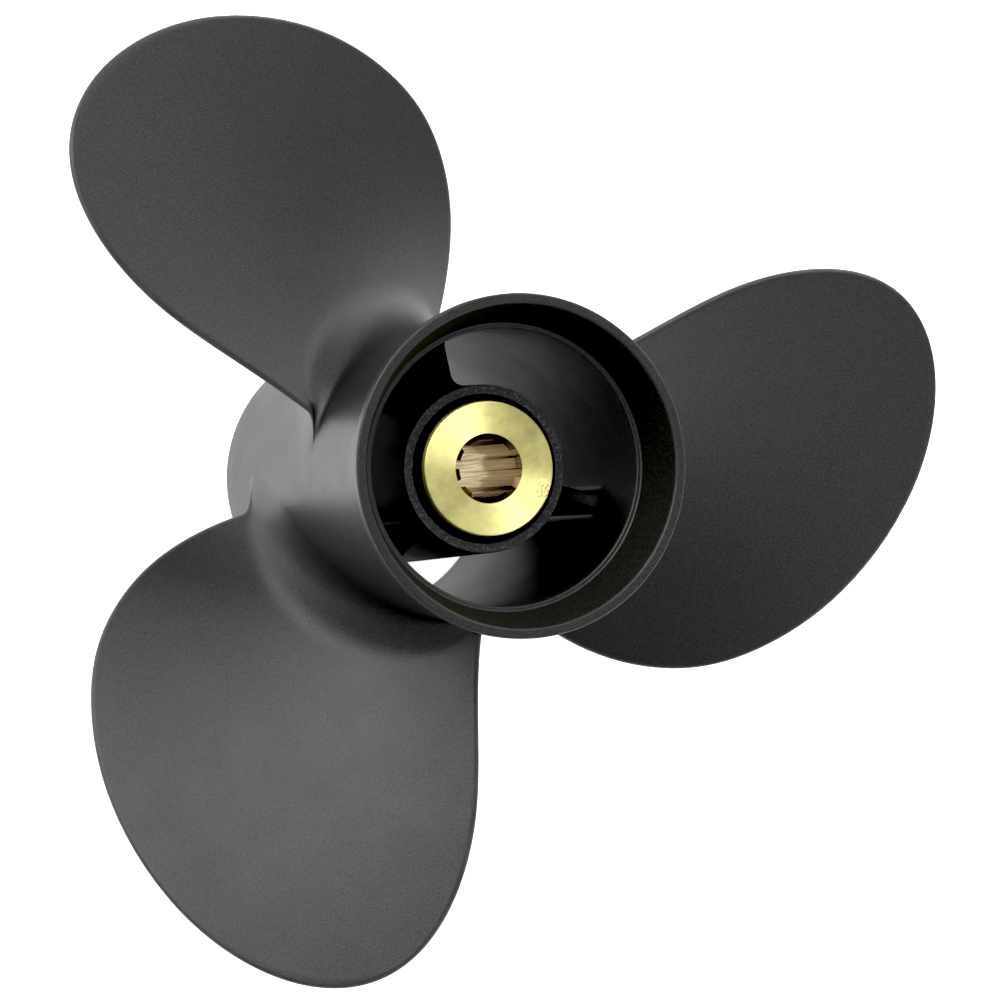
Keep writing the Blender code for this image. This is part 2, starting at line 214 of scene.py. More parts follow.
def makeTurnedBrass(look):
    # brass faced on a lathe: fine rings round the shaft, which spread each highlight into a
    # bright sector, a faint uneven tarnish, and a patch of small dents where a tool has slipped
    material, tree, place = newMaterial("turnedBrass")
    # at scale 1 this texture has a ring every pi / 10
    rings = addNode(tree, "ShaderNodeTexWave", {
        "Vector": place, "Scale": 1.0 / (look["ringPitch"] * mm) * math.pi / 10.0, "Distortion": 0.6,
        "Detail": 2.0, "Detail Scale": 4.0}, wave_type="RINGS", rings_direction="Z")
    tarnish = addNode(tree, "ShaderNodeTexNoise", {
        "Vector": place, "Scale": 1.0 / (look["tarnishSize"] * mm), "Detail": 3.0, "Roughness": 0.6})
    blotches = addNode(tree, "ShaderNodeMapRange", {
        "Value": tarnish.outputs["Fac"], "From Min": 0.3, "From Max": 0.7})
    tint = addNode(tree, "ShaderNodeMix", {
        "Factor": blotches.outputs["Result"], "A": linearColour(look["colour"]),
        "B": linearColour(look["dullColour"])}, data_type="RGBA")
    gloss = addNode(tree, "ShaderNodeMapRange", {
        "Value": tarnish.outputs["Fac"], "From Min": 0.3, "From Max": 0.7,
        "To Min": look["roughness"] - 0.03, "To Max": look["roughness"] + 0.05})
    fine = addNode(tree, "ShaderNodeBump", {
        "Height": rings.outputs["Fac"], "Distance": look["ringHeight"] * mm})
    dents = addNode(tree, "ShaderNodeTexNoise", {
        "Vector": place, "Scale": 1.0 / (look["dentSize"] * mm), "Detail": 1.0, "Roughness": 0.5})
    away = addNode(tree, "ShaderNodeVectorMath", {
        0: place, 1: [c * mm for c in look["dentPlace"]]}, operation="DISTANCE")
    patch = addNode(tree, "ShaderNodeMapRange", {
        "Value": away.outputs["Value"], "From Min": look["dentReach"] * mm, "From Max": 0.0})
    sparse = addNode(tree, "ShaderNodeMapRange", {
        "Value": dents.outputs["Fac"], "From Min": 0.52, "From Max": 0.75})
    deep = addNode(tree, "ShaderNodeMath", {
        0: sparse.outputs["Result"], 1: patch.outputs["Result"]}, operation="MULTIPLY")
    dented = addNode(tree, "ShaderNodeBump", {
        "Height": deep.outputs[0], "Distance": look["dentDepth"] * mm,
        "Normal": fine.outputs["Normal"]})
    lay = addNode(tree, "ShaderNodeTangent", direction_type="RADIAL", axis="Z")
    shader = addNode(tree, "ShaderNodeBsdfPrincipled", {
        "Base Color": tint.outputs["Result"], "Metallic": 1.0, "Roughness": gloss.outputs["Result"],
        "Anisotropic": look["anisotropy"], "Anisotropic Rotation": 0.25,
        "Tangent": lay.outputs[0], "Normal": dented.outputs["Normal"]})
    addNode(tree, "ShaderNodeOutputMaterial", {"Surface": shader.outputs[0]})
    return material


broachedLook = {
    "colour": "#F8F1DC",
    "streakColour": "#A8966E",
    # brown over the last 25 mm before the mouth: partly a stain, partly painted shade
    "stainAndShadeColour": "#7C5A22",
    "stainAndShadeFrom": 79.0,
    "stainAndShadeTo": 83.0,
    "stainAndShadeShare": 0.8,
    "roughness": 0.2,
    "anisotropy": 0.9,
    "scratchSize": 0.35,     # broach marks, a little coarser than real ones
    "scratchHeight": 0.015,
    "scratchLength": 18.0,
}


def makeBroachedBrass(look):
    # splines cut with a broach: brass with long fine marks along the shaft, which spread each
    # highlight round the bore, and a brown tint over its last 25 mm before the mouth, partly a
    # stain and partly painted shade
    material, tree, place = newMaterial("broachedBrass")
    drawn = addNode(tree, "ShaderNodeMapping", {
        "Vector": place, "Scale": (1.0, 1.0, look["scratchSize"] / look["scratchLength"])})
    marks = addNode(tree, "ShaderNodeTexNoise", {
        "Vector": drawn.outputs[0], "Scale": 1.0 / (look["scratchSize"] * mm),
        "Detail": 2.0, "Roughness": 0.6})
    streaks = addNode(tree, "ShaderNodeMapRange", {
        "Value": marks.outputs["Fac"], "From Min": 0.35, "From Max": 0.65})
    bare = addNode(tree, "ShaderNodeMix", {
        "Factor": streaks.outputs["Result"], "A": linearColour(look["colour"]),
        "B": linearColour(look["streakColour"])}, data_type="RGBA")
    height = addNode(tree, "ShaderNodeSeparateXYZ", {"Vector": place})
    # the last 25 mm before the mouth turn brown: partly a stain, partly painted shade
    near = addNode(tree, "ShaderNodeMapRange", {
        "Value": height.outputs["Z"], "From Min": look["stainAndShadeFrom"] * mm, "From Max": look["stainAndShadeTo"] * mm,
        "To Max": look["stainAndShadeShare"]})
    tint = addNode(tree, "ShaderNodeMix", {
        "Factor": near.outputs["Result"], "A": bare.outputs["Result"],
        "B": linearColour(look["stainAndShadeColour"])}, data_type="RGBA")
    fine = addNode(tree, "ShaderNodeBump", {
        "Height": marks.outputs["Fac"], "Distance": look["scratchHeight"] * mm})
    lay = addNode(tree, "ShaderNodeTangent", direction_type="RADIAL", axis="Z")
    shader = addNode(tree, "ShaderNodeBsdfPrincipled", {
        "Base Color": tint.outputs["Result"], "Metallic": 1.0, "Roughness": look["roughness"],
        "Anisotropic": look["anisotropy"], "Tangent": lay.outputs[0], "Normal": fine.outputs["Normal"]})
    addNode(tree, "ShaderNodeOutputMaterial", {"Surface": shader.outputs[0]})
    return material


rubberLook = {
    "colour": "#0E0E0E",
    "bloomColour": "#1C1C1B",
    "bloomSize": 2.5,
    "grainSize": 0.3,
    "grainHeight": 0.02,
    "roughness": 0.85,
}


def makeRubber(look):
    # moulded black rubber: matt, with a faint grey bloom
    material, tree, place = newMaterial("mouldedRubber")
    bloom = addNode(tree, "ShaderNodeTexNoise", {
        "Vector": place, "Scale": 1.0 / (look["bloomSize"] * mm), "Detail": 3.0, "Roughness": 0.6})
    grain = addNode(tree, "ShaderNodeTexNoise", {
        "Vector": place, "Scale": 1.0 / (look["grainSize"] * mm), "Detail": 1.0, "Roughness": 0.5})
    tint = addNode(tree, "ShaderNodeMix", {
        "Factor": bloom.outputs["Fac"], "A": linearColour(look["colour"]),
        "B": linearColour(look["bloomColour"])}, data_type="RGBA")
    rough = addNode(tree, "ShaderNodeBump", {
        "Height": grain.outputs["Fac"], "Distance": look["grainHeight"] * mm})
    shader = addNode(tree, "ShaderNodeBsdfPrincipled", {
        "Base Color": tint.outputs["Result"], "Roughness": look["roughness"],
        "Normal": rough.outputs["Normal"], "IOR": 1.52})
    addNode(tree, "ShaderNodeOutputMaterial", {"Surface": shader.outputs[0]})
    return material


paint = makePaint("satinBlackEnamel", paintLook)
shadedRecessPaint = makePaint("roughBlackWithPaintedShade", shadedRecessLook)
castEnd = makeCastEnd(castEndLook)
turnedBrass = makeTurnedBrass(turnedLook)
broachedBrass = makeBroachedBrass(broachedLook)
rubber = makeRubber(rubberLook)
print("materials made")


# the hub: barrel with its flared mouth, and the bush housing inside it

hub = {
    "length": 132.0,
    "frontRadius": 34.55,
    "rearRadius": 35.8,
    "frontBore": 32.5,
    "rearBore": 32.25,
    "noseLength": 7.0,
    "noseDrop": 0.3,
    "frontRound": 0.3,
    "recessRadius": 33.0,
    "recessDepth": 2.0,
    "flareStart": 111.0,
    "ledge": 119.0,
    "ledgeRadius": 33.5,
    "ledgeChamfer": 0.3,
    "lipRadius": 39.75,
    "mouthRadius": 37.4,
    "lipWidth": 2.6,
    "flareBend": 1.8,
    "edgeRound": 0.5,
    "steps": 180,
    "flareSteps": 14,
    "rowSpacing": 1.3,
    "insideCoarser": 1.6,    # rows are this much wider where little shows
    "helixStation": 60.0,    # the rows of the barrel's skin follow the helix at this height
    "joinDistance": 0.002,
    "clearOfHole": 0.55,     # row spacings kept free round the foot of a blade or rib
    "coatMargin": 0.3,       # kept between the edge of a coat and the edge of the form it lies on
    "wallMargin": 0.5,       # kept between the coat of a rib and the tubes at its two ends
}

housing = {
    "frontRadius": 22.0,
    "rearRadius": 19.75,
    "bore": 17.35,
    "front": 8.0,
    "rear": 103.3,
    "boreRows": (90.0, 60.0, 30.0, 20.0),
    "edgeRound": 0.5,
    "steps": 120,
}


def barrelRadius(z):
    share = min(max(z / hub["flareStart"], 0.0), 1.0)
    return mixed(hub["frontRadius"], hub["rearRadius"], share)


def boreRadius(z):
    share = min(max(z / hub["flareStart"], 0.0), 1.0)
    return mixed(hub["frontBore"], hub["rearBore"], share)


def housingRadius(z):
    share = (z - housing["front"]) / (housing["rear"] - housing["front"])
    return mixed(housing["frontRadius"], housing["rearRadius"], share)


# blades: a flat pattern in (radius, turn, offset) that Geometry Nodes wind round the shaft

blade = {
    "count": 3,
    "firstAngle": 118.4,
    "station": 57.2,
    "pitch": 229.0,
    "pitchGrowth": 34.0,
    "pitchStation": 0.7,
    "tipRadius": 127.0,
    "rake": 0.12,
    "rakeStart": 36.0,
    "rootRadius": 34.0,
    "rootThickness": 9.0,
    "tipThickness": 3.4,
    "edgeThickness": 1.8,
    "edgeAtRoot": 0.35,      # the rim thins to this share where it meets the barrel
    "rimRise": 4.0,
    "faceShare": 0.4,        # share of the thickness that lies aft of the helicoid
    "tipPower": 6,           # higher numbers keep the blade thick nearer to its tip
    "fillet": 14.0,
    # where each edge runs out into the barrel: height above it, length along it, and degrees
    # swung from the helix of the blade towards the front
    "leadingRun": (6.0, 9.0, -8.0),
    "trailingRun": (4.4, 6.8, 67.0),
    "runPower": 3,           # higher numbers gather the run-outs at the barrel
    "swingPower": 6,         # and keep their swing near the edges
    "seatPower": 8,          # how soon a foot forgets the taper of the barrel
    "outline": [
        (19.0, 19.0), (38.5, 38.0), (49.0, 66.0), (41.5, 90.5), (25.0, 111.0), (-3.5, 125.94),
        (-35.5, 125.45), (-55.5, 106.0), (-50.0, 66.0), (-28.3, 38.5), (-20.9, 19.2)],
    "leadingShoulder": 0.47,
    "trailingShoulder": 0.72,
    "span": 91.0,
    "chordSteps": 52,
    "filletRows": 16,
    "spanRows": 44,
    "rimSteps": 6,
    "crowding": (0.35, 0.25),  # evens out the columns: how far, and by what share of the span
}


def outlinePoint(share):
    # clamped cubic B-spline with the outline's control points
    control = blade["outline"]
    spans = len(control) - 3
    knots = [0.0] * 3 + [i / spans for i in range(spans + 1)] + [1.0] * 3
    share = min(max(share, 0.0), 1.0 - 1e-9)
    span = 3 + int(share * spans)
    points = [Vector(control[span - 3 + i]) for i in range(4)]
    for level in range(1, 4):
        for i in range(3, level - 1, -1):
            low, high = knots[span - 3 + i], knots[span + 1 + i - level]
            points[i] = points[i - 1].lerp(points[i], (share - low) / (high - low))
    return points[3]


def insetPoint(share, inset):
    # the outline moved inwards, so that the rounded rim ends on the outline itself
    ahead = outlinePoint(share + 5e-4) - outlinePoint(share - 5e-4)
    inward = Vector((-ahead.y, ahead.x)).normalized()
    return outlinePoint(share) + inward * inset


# the flat pattern is a plane seen down the shaft: radius and turn, or x and y

def polar(point):
    return Vector((point.length, math.atan2(point.y, point.x) - math.pi * 0.5))


def flat(place):
    return Vector((-place.x * math.sin(place.y), place.x * math.cos(place.y)))


def advanceAt(radius):
    # travel along the shaft for each radian of turn
    outward = radius / blade["tipRadius"] - blade["pitchStation"]
    return (blade["pitch"] + blade["pitchGrowth"] * outward) / (2.0 * math.pi)


def slopeAt(radius):
    return math.atan2(advanceAt(radius), radius)


def bladeHeight(radius, turn):
    return blade["station"] + advanceAt(radius) * turn + blade["rake"] * (radius - blade["rakeStart"])


def filletReach(rise, size):
    # how far a round fillet stands out at a height above its foot
    if rise >= size:
        return 0.0
    share = 1.0 - max(rise, 0.0) / size
    return size * (1.0 - math.sqrt(1.0 - share * share))


def edgePlace(radius, root, shoulder, inset):
    # where the outline between root and shoulder reaches a radius, found by halving
    inside, outside = root, shoulder
    for _ in range(36):
        middle = (inside + outside) * 0.5
        if insetPoint(middle, inset).length < radius:
            inside = middle
        else:
            outside = middle
    return polar(insetPoint(outside, inset))


def rimReach(rise):
    # how far the round rim stands out from the flat faces; at the barrel it shrinks to nothing
    return blade["edgeThickness"] * 0.5 * smoothStep(rise / blade["rimRise"])


def bladeEdges():
    # for each edge: its side, where its outline starts, the radius of its foot on the barrel,
    # and the corner where it meets the tip
    edges = []
    for side, root in (("leading", 0.0), ("trailing", 1.0)):
        shoulder = blade[side + "Shoulder"]
        foot = barrelRadius(bladeHeight(*edgePlace(hub["rearRadius"], root, shoulder, 0.0)))
        edges.append((side, root, foot, polar(insetPoint(shoulder, blade["edgeThickness"] * 0.5))))
    return edges


def edgeAt(edge, share):
    # an edge's place at a share of the span, and how far its run-out has swung to the front
    side, root, foot, corner = edge
    rise = (corner.x - foot) * share
    place = edgePlace(foot + rise, root, blade[side + "Shoulder"], rimReach(rise))
    height, length, swing = blade[side + "Run"]
    swing = math.radians(swing)
    runOut = length * max(1.0 - rise / height, 0.0) ** blade["runPower"]
    along = runOut * math.cos(swing) * math.cos(slopeAt(foot + rise))
    place.y += math.copysign(along / (foot + rise), place.y)
    return place, runOut * math.sin(swing)


def faceOffsets(radius, rise, share, chord):
    # how far the front and the aft face lie from the helicoid, with the root fillet added;
    # full is 1 in the middle of the blade and falls to 0 along its rim
    full = (1.0 - (2.0 * chord - 1.0) ** 2) * (1.0 - share ** blade["tipPower"])
    out = (radius - blade["rootRadius"]) / (blade["tipRadius"] - blade["rootRadius"])
    most = mixed(blade["rootThickness"], blade["tipThickness"], min(max(out, 0.0), 1.0))
    grown = smoothStep(rise / blade["rimRise"])
    edge = blade["edgeThickness"] * mixed(blade["edgeAtRoot"], 1.0, grown)
    thick = mixed(edge, most, full)
    fillet = filletReach(rise, blade["fillet"] * math.sqrt(full)) if full > 0.0 else 0.0
    return -(thick * (1.0 - blade["faceShare"]) + fillet), thick * blade["faceShare"] + fillet


def seated(place, base, offset, share):
    # a point of the flat pattern; near the root its radius follows the taper of the barrel
    height = bladeHeight(place.x, place.y) + offset * math.cos(slopeAt(place.x))
    radius = place.x + (barrelRadius(height) - base) * (1.0 - share) ** blade["seatPower"]
    return Vector((radius * mm, place.y, offset * mm))


def bladeRows():
    # shares of the span: even steps round the root fillet, then even steps to the tip
    top = blade["fillet"] / blade["span"]
    count = blade["filletRows"]
    rows = [top * (1.0 - math.cos(math.pi * 0.5 * i / count)) for i in range(count)]
    return rows + [mixed(top, 1.0, i / blade["spanRows"]) for i in range(blade["spanRows"] + 1)]


def roundRim(bm, wearAndHighlight, fronts, afts, border):
    # closes the leading edge, the tip and the trailing edge with one half round
    last, cols = len(fronts) - 1, blade["chordSteps"]
    ring = [(row, 0) for row in range(last + 1)]
    ring += [(last, col) for col in range(1, cols + 1)]
    ring += [(row, cols) for row in range(last - 1, -1, -1)]
    points = [flat(border[key][0]) for key in ring]
    strips = []
    for i, (row, col) in enumerate(ring):
        place, base, low, high, share = border[row, col]
        ahead = points[min(i + 1, len(ring) - 1)] - points[max(i - 1, 0)]
        outward = Vector((ahead.y, -ahead.x)).normalized()
        strip = [fronts[row][col]]
        for step in range(1, blade["rimSteps"]):
            angle = math.pi * (step / blade["rimSteps"] - 0.5)
            point = polar(flat(place) + outward * (rimReach(place.x - base) * math.cos(angle)))
            offset = (low + high) * 0.5 + (high - low) * 0.5 * math.sin(angle)
            strip.append(bm.verts.new(seated(point, base, offset, share)))
            # the paler rim line, partly a painted highlight, is strongest on the crest of the rim
            strip[-1][wearAndHighlight] = math.cos(angle)
        strip.append(afts[row][col])
        strips.append(strip)
    joinRows(bm, strips)


def flatBlade():
    edges = bladeEdges()
    feet, corners = zip(*((foot, corner) for _, _, foot, corner in edges))
    cols = blade["chordSteps"]
    evened, evenedBy = blade["crowding"]
    swung = blade["swingPower"]
    rows = bladeRows()
    bm = bmesh.new()
    wearAndHighlight = bm.verts.layers.float.new("rimWearAndHighlight")
    fronts, afts, border = [], [], {}
    for row, share in enumerate(rows):
        sides, sags = zip(*(edgeAt(edge, share) for edge in edges))
        fronts.append([])
        afts.append([])
        for col in range(cols + 1):
            even = col / cols
            spread = 0.5 - 0.5 * math.cos(math.pi * even)
            chord = mixed(spread, even, evened * smoothStep(share / evenedBy))
            tip = insetPoint(
                mixed(blade["leadingShoulder"], blade["trailingShoulder"], chord),
                blade["edgeThickness"] * 0.5)
            bulge = polar(tip) - corners[0].lerp(corners[1], chord)
            place = sides[0].lerp(sides[1], chord) + bulge * share
            base = mixed(feet[0], feet[1], chord)
            sag = sags[0] * (1.0 - chord) ** swung + sags[1] * chord ** swung
            low, high = (
                offset - sag for offset in faceOffsets(place.x, place.x - base, share, chord))
            fronts[-1].append(bm.verts.new(seated(place, base, low, share)))
            afts[-1].append(bm.verts.new(seated(place, base, high, share)))
            if col in (0, cols) or row == len(rows) - 1:
                border[row, col] = (place, base, low, high, share)
    joinRows(bm, fronts)
    joinRows(bm, afts)
    roundRim(bm, wearAndHighlight, fronts, afts, border)
    return meshFrom(bm, "flatBlade")


def newGeometryTree(name, sizes):
    tree = bpy.data.node_groups.new(name, "GeometryNodeTree")
    tree.interface.new_socket("Geometry", in_out="INPUT", socket_type="NodeSocketGeometry")
    for label, kind in sizes:
        tree.interface.new_socket(label, in_out="INPUT", socket_type=kind)
    tree.interface.new_socket("Geometry", in_out="OUTPUT", socket_type="NodeSocketGeometry")
    return tree


def bladeTree():
    # winds the flat pattern into a helicoid whose pitch grows towards the tip
    tree = newGeometryTree("windBlade", [
        ("Pitch", "NodeSocketFloat"), ("Pitch Growth", "NodeSocketFloat"),
        ("Pitch Station", "NodeSocketFloat"), ("Tip Radius", "NodeSocketFloat"),
        ("Station", "NodeSocketFloat"), ("Rake", "NodeSocketFloat"),
        ("Rake Start", "NodeSocketFloat"), ("Material", "NodeSocketMaterial")])
    given = addNode(tree, "NodeGroupInput").outputs
    split = addNode(tree, "ShaderNodeSeparateXYZ", {
        "Vector": addNode(tree, "GeometryNodeInputPosition").outputs[0]}).outputs
    terms = {
        "radius": split["X"], "turn": split["Y"], "offset": split["Z"],
        **{s.name: s for s in given if s.name}}
    for name, operation, *parts in (
            ("ratio", "DIVIDE", "radius", "Tip Radius"),
            ("outward", "SUBTRACT", "ratio", "Pitch Station"),
            ("localPitch", "MULTIPLY_ADD", "outward", "Pitch Growth", "Pitch"),
            ("advance", "DIVIDE", "localPitch", 2.0 * math.pi),
            ("slope", "ARCTAN2", "advance", "radius"),
            ("slopeSine", "SINE", "slope"),
            ("slopeCosine", "COSINE", "slope"),
            ("sideways", "MULTIPLY", "offset", "slopeSine"),
            ("sidewaysTurn", "DIVIDE", "sideways", "radius"),
            ("angle", "SUBTRACT", "turn", "sidewaysTurn"),
            ("reach", "SUBTRACT", "radius", "Rake Start"),
            ("raked", "MULTIPLY_ADD", "reach", "Rake", "Station"),
            ("wound", "MULTIPLY_ADD", "advance", "turn", "raked"),
            ("height", "MULTIPLY_ADD", "offset", "slopeCosine", "wound"),
            ("angleCosine", "COSINE", "angle"),
            ("angleSine", "SINE", "angle"),
            ("across", "MULTIPLY", "radius", "angleCosine"),
            ("aside", "MULTIPLY", "radius", "angleSine")):
        values = {i: terms.get(part, part) for i, part in enumerate(parts)}
        terms[name] = addNode(tree, "ShaderNodeMath", values, operation=operation).outputs[0]
    position = addNode(tree, "ShaderNodeCombineXYZ", {
        "X": terms["across"], "Y": terms["aside"], "Z": terms["height"]})
    moved = addNode(tree, "GeometryNodeSetPosition", {
        "Geometry": given["Geometry"], "Position": position.outputs[0]})
    real = addNode(tree, "GeometryNodeRealizeInstances", {"Geometry": moved.outputs[0]})
    coated = addNode(tree, "GeometryNodeSetMaterial", {
        "Geometry": real.outputs[0], "Material": given["Material"]})
    addNode(tree, "NodeGroupOutput", {"Geometry": coated.outputs[0]})
    return tree


def roundTree():
    # repeats a piece evenly round the shaft and joins neighbours that touch
    tree = newGeometryTree("repeatRoundShaft", [
        ("Count", "NodeSocketInt"), ("First Angle", "NodeSocketFloat"),
        ("Join Distance", "NodeSocketFloat"), ("Material", "NodeSocketMaterial")])
    given = addNode(tree, "NodeGroupInput").outputs
    points = addNode(tree, "GeometryNodePoints", {"Count": given["Count"]})
    step = addNode(tree, "ShaderNodeMath", {0: 2.0 * math.pi, 1: given["Count"]}, operation="DIVIDE")
    angle = addNode(tree, "ShaderNodeMath", {
        0: addNode(tree, "GeometryNodeInputIndex").outputs[0], 1: step.outputs[0],
        2: given["First Angle"]}, operation="MULTIPLY_ADD")
    euler = addNode(tree, "ShaderNodeCombineXYZ", {"Z": angle.outputs[0]})
    turned = addNode(tree, "FunctionNodeEulerToRotation", {0: euler.outputs[0]})
    copies = addNode(tree, "GeometryNodeInstanceOnPoints", {
        "Points": points.outputs[0], "Instance": given["Geometry"], "Rotation": turned.outputs[0]})
    real = addNode(tree, "GeometryNodeRealizeInstances", {"Geometry": copies.outputs[0]})
    joined = addNode(tree, "GeometryNodeMergeByDistance", {
        "Geometry": real.outputs[0], "Distance": given["Join Distance"]})
    coated = addNode(tree, "GeometryNodeSetMaterial", {
        "Geometry": joined.outputs[0], "Material": given["Material"]})
    addNode(tree, "NodeGroupOutput", {"Geometry": coated.outputs[0]})
    return tree


def runTrees(mesh, steps):
    # steps: (tree, {input name: value}); returns the plain mesh that they make
    holder = putInScene(mesh.name, mesh)
    for tree, values in steps:
        modifier = holder.modifiers.new(tree.name, "NODES")
        modifier.node_group = tree
        sockets = {s.name: s.identifier for s in tree.interface.items_tree if s.in_out == "INPUT"}
        for label, value in values.items():
            modifier[sockets[label]] = value
    made = bpy.data.meshes.new_from_object(holder.evaluated_get(bpy.context.evaluated_depsgraph_get()))
    holder.modifiers.clear()
    bpy.data.objects.remove(holder)
    return made


windBlade = bladeTree()
repeatRound = roundTree()

bladesMesh = runTrees(flatBlade(), [
    (windBlade, {
        "Pitch": blade["pitch"] * mm, "Pitch Growth": blade["pitchGrowth"] * mm,
        "Pitch Station": blade["pitchStation"], "Tip Radius": blade["tipRadius"] * mm,
        "Station": blade["station"] * mm, "Rake": blade["rake"],
        "Rake Start": blade["rakeStart"] * mm, "Material": paint}),
    (repeatRound, {
        "Count": blade["count"], "First Angle": math.radians(blade["firstAngle"]),
        "Join Distance": 0.0, "Material": paint})])
print("blades wound,", len(bladesMesh.polygons), "faces")


# ribs between the bush housing and the barrel

rib = {
    "count": 3,
    "thickness": 4.0,
    "front": 12.0,
    "rearInside": 92.0,
    "rearOutside": 94.5,
    "turn": -12.0,
    "fillet": 2.4,
    "edgeRound": 1.3,
    "lengthSteps": 34,
    "cornerSteps": 5,
    "filletRows": 5,
    "wallRows": 5,
}


def ribSection(reach, share):
    # a rounded rectangle as (y, z), at a share of the way from the housing to the barrel
    grown = filletReach(share * reach, rib["fillet"])
    grown += filletReach((1.0 - share) * reach, rib["fillet"])
    half = rib["thickness"] * 0.5 + grown
    low = rib["front"] - grown
    high = mixed(rib["rearInside"], rib["rearOutside"], share) + grown
    corner = min(rib["edgeRound"] + grown, half)
    centres = (
        (half - corner, high - corner, 0.0), (corner - half, high - corner, 90.0),
        (corner - half, low + corner, 180.0), (half - corner, low + corner, 270.0))
    loop = []
    for i, (y, z, start) in enumerate(centres):
        for step in range(rib["cornerSteps"] + 1):
            angle = math.radians(start + 90.0 * step / rib["cornerSteps"])
            loop.append((y + corner * math.cos(angle), z + corner * math.sin(angle)))
        if i % 2:
            tall = high - low - 2.0 * corner
            for step in range(1, rib["lengthSteps"]):
                along = tall * step / rib["lengthSteps"]
                side = -half if i == 1 else half
                loop.append((side, high - corner - along if i == 1 else low + corner + along))
    return loop


def ribMesh():
    # one rib on the X axis: a stack of sections, each bent round a cylinder between the tubes
    reach = boreRadius(rib["front"]) - housingRadius(rib["front"])
    foot = rib["fillet"] / reach
    count = rib["filletRows"]
    inner = [foot * (1.0 - math.cos(math.pi * 0.5 * i / count)) for i in range(count)]
    shares = inner + [mixed(foot, 1.0 - foot, i / rib["wallRows"]) for i in range(rib["wallRows"] + 1)]
    shares += [1.0 - share for share in reversed(inner)]
    bm = bmesh.new()
    loops = []
    for share in shares:
        verts = []
        for y, z in ribSection(reach, share):
            radius = mixed(housingRadius(z), boreRadius(z), share)
            verts.append(bm.verts.new(Vector((math.sqrt(radius ** 2 - y ** 2), y, z)) * mm))
        loops.append(verts)
    joinRows(bm, loops, closed=True)
    return meshFrom(bm, "rib")


ribsMesh = runTrees(ribMesh(), [(repeatRound, {
    "Count": rib["count"], "First Angle": math.radians(blade["firstAngle"] + rib["turn"]),
    "Join Distance": 0.0, "Material": paint})])
print("ribs repeated,", len(ribsMesh.polygons), "faces")


# the casting: hub skins stitched to the feet of the blades and ribs

def openLoops(bm):
    # the open borders of a mesh, each as a ring of vertices in order; a dictionary holds the
    # edges, because a set would give them in another order in each run
    waiting = dict.fromkeys(e for e in bm.edges if len(e.link_faces) == 1)
    loops = []
    while waiting:
        edge = next(iter(waiting))
        first, vert = edge.verts
        del waiting[edge]
        loop = [first]
        while vert is not first:
            loop.append(vert)
            edge = next(e for e in vert.link_edges if e in waiting)
            vert = edge.other_vert(vert)
            del waiting[edge]
        loops.append(loop)
    return loops


def insideLoop(point, loop):
    inside = False
    for a, b in zip(loop, loop[1:] + loop[:1]):
        if (a.y > point.y) != (b.y > point.y):
            if point.x < a.x + (b.x - a.x) * (point.y - a.y) / (b.y - a.y):
                inside = not inside
    return inside


def unrolled(loop, low, twist):
    # a loop as (turn, z), with the twist of the helix taken out
    polygon = []
    for vert in loop:
        z = vert.co.z / mm
        turn = math.atan2(vert.co.y, vert.co.x) - twist * (z - low)
        if polygon:
            turn += round((polygon[-1][0] - turn) / (2.0 * math.pi)) * 2.0 * math.pi
        polygon.append((turn, z))
    return polygon


def sectorPoints(hole, across, up, clear):
    # the points of the hole, then a grid that leaves the hole free; and the grid's outer border
    tree = KDTree(len(hole))
    for i, point in enumerate(hole):
        tree.insert((point.x, point.y, 0.0), i)
    tree.balance()
    right, top = len(across) - 1, len(up) - 1
    coords = list(hole)
    grid = {}
    for row, y in enumerate(up):
        for col, x in enumerate(across):
            point = Vector((x, y))
            if row not in (0, top) and col not in (0, right):
                if tree.find((point.x, point.y, 0.0))[2] < clear or insideLoop(point, hole):
                    continue
            grid[row, col] = len(coords)
            coords.append(point)
    outer = [grid[0, col] for col in range(right)]
    outer += [grid[row, right] for row in range(top)]
    outer += [grid[top, col] for col in range(right, 0, -1)]
    outer += [grid[row, 0] for row in range(top, 0, -1)]
    return coords, outer


def stitchSkin(bm, loops, radiusAt, low, high, twist, steps, spacing):
    # a tube wall from low to high in one sector for each loop, with the loop as its hole;
    # it is laid out flat along the helix of the feet, and the start angles of both ends come back
    sector = 2.0 * math.pi / len(loops)
    step = 2.0 * math.pi / steps
    size = radiusAt((low + high) * 0.5)
    twist = round(twist * (high - low) / step) * step / (high - low)
    rows = max(2, round((high - low) / spacing))
    up = [mixed(low, high, row / rows) for row in range(rows + 1)]
    firstEdge = None
    for loop in loops:
        polygon = unrolled(loop, low, twist)
        middle = (min(p[0] for p in polygon) + max(p[0] for p in polygon)) * 0.5
        if firstEdge is None:
            firstEdge = round((middle - sector * 0.5) / step) * step
        start = firstEdge + round((middle - sector * 0.5 - firstEdge) / sector) * sector
        across = [(start + step * col) * size for col in range(round(steps / len(loops)) + 1)]
        hole = [Vector((turn * size, z)) for turn, z in polygon]
        coords, outer = sectorPoints(hole, across, up, spacing * hub["clearOfHole"])
        edges = [(i, (i + 1) % len(hole)) for i in range(len(hole))]
        found, _, faces, origins, _, _ = delaunay_2d_cdt(coords, edges, [outer], 1, 1e-7, True)
        verts = []
        for point, origin in zip(found, origins):
            if origin and origin[0] < len(loop):
                verts.append(loop[origin[0]])
            else:
                angle = point.x / size + twist * (point.y - low)
                verts.append(bm.verts.new(roundShaft(radiusAt(point.y), angle, point.y)))
        for face in faces:
            centre = sum((found[i] for i in face), Vector((0.0, 0.0))) / len(face)
            if not insideLoop(centre, hole):
                bm.faces.new([verts[i] for i in face])
    return firstEdge, firstEdge + twist * (high - low)


